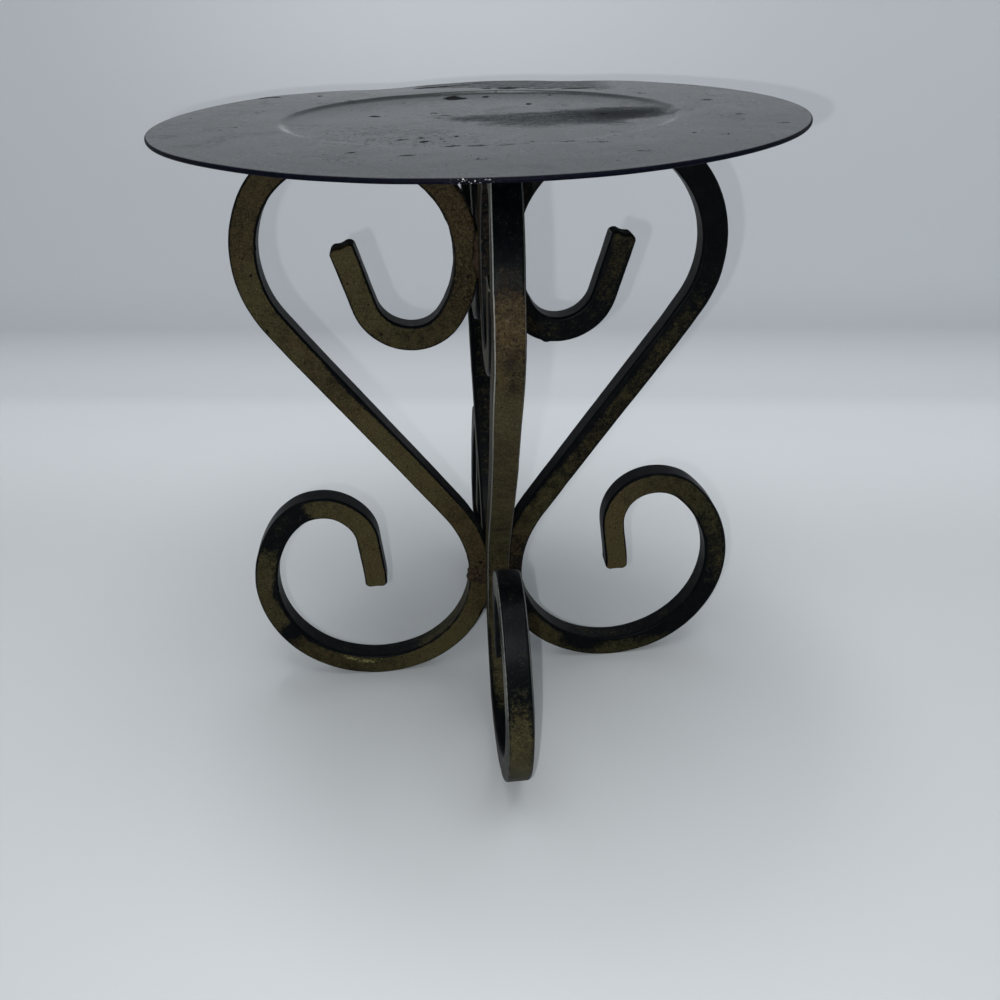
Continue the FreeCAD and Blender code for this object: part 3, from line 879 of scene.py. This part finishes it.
def rim_material():
    """Dark blue-black paint, a darker, bluer copy of the dish's paint as painted shade on the rim, chipped to bright
    metal where the glints are, which is partly a painted highlight.
    """
    m = Nodes("shaded_rim_paint")
    p = m.position()
    glints, = m.attributes("glints")
    fine = m.noise(p, 1.1, 3.0, 0.6)
    # Painted highlight, partly real metal: bright chipped specks that stand in for the front rim's glints
    glint_specks = m.mul(glints, m.ramp(m.noise(p, 0.45, 1.0, 0.6), 0.62, 0.70))
    # Painted shade: the rim is darker and bluer than the dish's own paint
    base = m.mix(m.ramp(fine, 0.35, 0.7), (0.0006, 0.0008, 0.0034), (0.0020, 0.0026, 0.0070))
    base = m.mix(glint_specks, base, (0.42, 0.42, 0.41))
    rough = m.blend(glint_specks, 0.55, 0.35)
    return m.surface(Base_Color=base, Roughness=rough, Specular_IOR_Level=0.04, Metallic=m.mul(glint_specks, 0.6),
                     Normal=m.bump(fine, 0.06))


# Weld beads

# Sizes of the beads in mm, close to those of the solids: length and reach
UPPER_BEAD = (15.0, 3.0)
LOWER_BEAD = (8.0, 3.2)
DISH_BEAD = (13.0, 2.8)

# How far the beads at the joints sink into the corners, in mm
SUNK = 0.1

# Rings along a bead, points round it, ripples along it, and the height and size of its rough skin in mm
BEAD_RINGS, BEAD_AROUND, RIPPLES = 44, 26, 4
BEAD_SKIN, BEAD_SKIN_SIZE = 0.16, 2.6

# A bead's radius and the stand-off of its middle from the corner, as shares of its reach
BEAD_ROUND, BEAD_OUT = 0.62, 0.10

# How far the beads under the dish follow the strays of the front and back legs, in mm
DISH_BEAD_LEAN = {"front": 2.2, "back": 1.5}

# Lays an upright bead down
LAID_DOWN = Matrix.Rotation(math.radians(90), 4, "Y")

# The lumpy weld on the left leg's front flank: length, reach, random start, ripples and place
FLANK_BEADS = [(8.8, 3.1, 261, 5, (-6.2, -3.5, 45.9)), (9.4, 3.3, 262, 5, (-6.4, -3.5, 43.4)),
               (6.0, 2.7, 263, 3, (-5.2, -3.6, 41.4))]


def bead_mesh(length, reach, seed, waves, clip):
    """A lumpy bead along Z in the corner of x=0 and y=0, as points and faces. It sinks by clip into both sides."""
    random = np.random.RandomState(seed)
    z = np.linspace(-0.5, 0.5, BEAD_RINGS) * length
    ends = np.sqrt(np.clip(1 - (2 * z / length) ** 2, 0, 1)) ** 0.7
    ripple = 1 + 0.07 * np.sin(z / length * 2 * np.pi * waves + random.uniform(0, 6))
    ripple = ripple + 0.09 * wobble(z, seed, length * 0.7)
    points = []
    for row in range(BEAD_RINGS):
        for angle in np.linspace(0, 2 * np.pi, BEAD_AROUND, endpoint=False):
            lobes = 1 + 0.10 * math.sin(3 * angle + seed + row * 0.3)
            radius = reach * BEAD_ROUND * ends[row] * ripple[row] * lobes
            bulge = np.array([math.cos(angle), math.sin(angle)]) * max(radius, 0.02)
            points.append([*(bulge + reach * BEAD_OUT * ends[row]), z[row]])
    points = np.array(points)
    skin = np.stack([lumps(points, seed + i, BEAD_SKIN_SIZE) for i in range(3)], 1)
    points += BEAD_SKIN * skin * np.repeat(ends, BEAD_AROUND)[:, None]
    points[:, :2] = np.maximum(points[:, :2], -clip)
    return points, bar_faces(BEAD_RINGS, BEAD_AROUND)


def beads(name, pieces, clip):
    """One object of several beads, each with its own size and place."""
    points, faces = [], []
    for index, (*shape, matrix) in enumerate(pieces):
        part, part_faces = bead_mesh(*shape, clip)
        points.append(np.array([matrix @ Vector(p) for p in part.tolist()]))
        faces += [tuple(i + index * len(part) for i in face) for face in part_faces]
    return mesh_object(name, np.concatenate(points) * MM, faces)


def spin(turn):
    return Matrix.Rotation(math.radians(turn), 4, "Z")


def shift(x, y=0, z=0):
    return Matrix.Translation((x, y, z))


def joint_pieces(size, height, seed, front_lean, back_lean):
    """Upright beads in the corners between neighbouring legs, moved sideways with the front and back legs."""
    pieces = []
    for index, (turn, _) in enumerate(LEGS.values()):
        lean = back_lean if turn in (0.0, 90.0) else front_lean
        corner = shift(HALF - SUNK, HALF - SUNK, height)
        pieces.append((*size, seed + index, RIPPLES, shift(lean) @ spin(turn) @ corner))
    return pieces


def flank_pieces():
    """The lumpy weld that runs on across the left leg's front flank at the lower joint."""
    return [(*bead, shift(*middle) @ LAID_DOWN) for *bead, middle in FLANK_BEADS]


def dish_pieces():
    """Two level beads on each arch's flanks, under the dish."""
    pieces = []
    for index, (name, (turn, inner)) in enumerate(LEGS.items()):
        arch = shift(DISH_BEAD_LEAN.get(name, 0)) @ spin(turn) @ shift(inner + HALF + ARCH, 0, RECESS_UNDER)
        for flank in (0, 1):
            side = spin(180 * flank) @ shift(0, HALF)
            pieces.append((*DISH_BEAD, 300 + 2 * index + flank, RIPPLES, arch @ side @ LAID_DOWN))
    return pieces


def weld_material():
    """Rough rusty metal."""
    m = Nodes("weld_metal")
    p = m.position()
    fine = m.noise(p, 0.7, 3.0, 0.65)
    rust = m.noise(p, 1.8, 3.0, 0.6)
    tone = m.mix(m.ramp(rust, 0.36, 0.64), (0.0090, 0.0062, 0.0040), (0.0330, 0.0205, 0.0115))
    tone = m.mix(m.ramp(fine, 0.56, 0.70, 0.0, 0.6), tone, (0.095, 0.070, 0.045))
    tone = m.mix(m.ramp(m.noise(p, 1.3, 2.0, 0.5), 0.42, 0.33), tone, (0.0040, 0.0014, 0.0008))
    height = m.add(fine, m.mul(rust, 1.5))
    return m.surface(Base_Color=tone, Roughness=0.66, Specular_IOR_Level=0.10, Normal=m.bump(height, 0.18))


# Floor, backdrop and light

def stage():
    """A whitish sweep: a floor that turns up into a wall, a little nearer on the right and clear from behind. Its paper
    carries painted light and shade.
    """
    near, wall, bend, width, height = -1.6, 0.300, 0.035, 3.0, 2.2
    line = [(near, 0.0)] + [(y, 0.0) for y in np.linspace(-0.6, wall - bend, 12)]
    for angle in np.radians(np.linspace(-90, 0, 25))[1:]:
        line.append((wall - bend + bend * math.cos(angle), bend + bend * math.sin(angle)))
    line.append((wall, height))
    count = len(line)
    made = mesh_object("sweep", [(x, y, z) for x in (-width, width) for y, z in line],
                       [(i, count + i, count + i + 1, i + 1) for i in range(count - 1)])
    made.rotation_euler = (0, 0, -0.155)
    m = Nodes("sweep_paper")
    parts = m.new("ShaderNodeSeparateXYZ")
    m.feed(parts.inputs[0], m.position())
    x, y, z = parts.outputs
    # Painted shade: the floor is darker towards the front
    floor = m.mix(m.ramp(y, 60.0, 205.0), srgb(186, 190, 192), srgb(201, 205, 208))
    # Painted light: the wall is lighter towards the right and higher up
    low_wall = m.mix(m.ramp(x, -250.0, 300.0), srgb(195, 199, 203), srgb(199, 203, 208))
    wall_tone = m.mix(m.ramp(z, 300.0, 600.0), low_wall, srgb(207, 211, 217))
    # Painted light: a glow across the middle of the wall
    centre = m.ramp(m.math("ABSOLUTE", m.add(x, 45.0)), 260.0, 20.0)
    glow = m.mul(m.mul(m.ramp(z, 120.0, 235.0), m.ramp(z, 350.0, 250.0)), centre)
    wall_tone = m.mix(glow, wall_tone, srgb(213, 217, 221))
    paper = m.mix(m.ramp(z, 2.0, 26.0), floor, wall_tone)
    # Painted shade in the cove where the floor turns up into the wall
    cove_shade = m.mul(m.ramp(y, 240.0, 282.0), m.ramp(z, 75.0, 15.0))
    paper = m.mix(cove_shade, paper, srgb(188, 192, 196))
    material = m.surface(Base_Color=paper, Roughness=0.85, Specular_IOR_Level=0.15)
    one_sided = m.new("ShaderNodeMixShader")
    m.feed(one_sided.inputs[0], m.new("ShaderNodeNewGeometry").outputs["Backfacing"])
    m.feed(one_sided.inputs[1], m.output.inputs["Surface"].links[0].from_socket)
    m.feed(one_sided.inputs[2], m.new("ShaderNodeBsdfTransparent").outputs[0])
    m.feed(m.output.inputs["Surface"], one_sided.outputs[0])
    made.data.materials.append(material)


def lamp(name, place, target, size, power):
    """A round lamp: its place, target and diameter in metres, and its power in watts."""
    data = bpy.data.lights.new(name, "AREA")
    data.shape = "DISK"
    data.size = size
    data.energy = power
    made = bpy.data.objects.new(name, data)
    made.location = place
    made.rotation_mode = "QUATERNION"
    made.rotation_quaternion = (Vector(target) - Vector(place)).to_track_quat("-Z", "Y")
    bpy.context.scene.collection.objects.link(made)


def lights():
    world = bpy.data.worlds.new("room")
    world.use_nodes = True
    background = world.node_tree.nodes["Background"]
    background.inputs[0].default_value = (0.95, 0.975, 1.0, 1.0)
    background.inputs[1].default_value = 0.49
    bpy.context.scene.world = world
    lamp("overhead", (0.07, -0.24, 1.28), (0, 0, 0.1), 0.9, 7.6)
    lamp("rear", (-0.12, 0.2, 1.3), (0, 0, 0.1), 0.3, 2.5)
    lamp("near_lens", EYE - RIGHT * 0.011 - UP * 0.007, EYE + FORWARD, 0.003, 0.42)


# Assembly

def place(piece, materials, node, slot):
    """Puts a piece with its materials in the place of a CAD node."""
    for material in materials:
        piece.data.materials.append(material)
    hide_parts(node)
    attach(piece, "root")


legs_paint = leg_material()
for name in LEGS:
    place(scroll_leg(name), [legs_paint], "scroll_leg_" + name, "leg_paint")
place(dish(), [dish_material(), rim_material()], "dish_plate", "dish_paint")
weld = weld_material()
upper = joint_pieces(UPPER_BEAD, UPPER, seed=100, front_lean=2.1, back_lean=1.4)
lower = joint_pieces(LOWER_BEAD, LOWER, seed=200, front_lean=0.5, back_lean=0.3) + flank_pieces()
place(beads("upper_welds", upper, clip=0.6), [weld], "upper_weld_beads", "weld_metal")
place(beads("lower_welds", lower, clip=9.0), [weld], "lower_weld_beads", "weld_metal")
place(beads("dish_welds", dish_pieces(), clip=0.6), [weld], "plate_weld_beads", "weld_metal")

stage()
lights()
bpy.context.scene.view_settings.view_transform = "Standard"
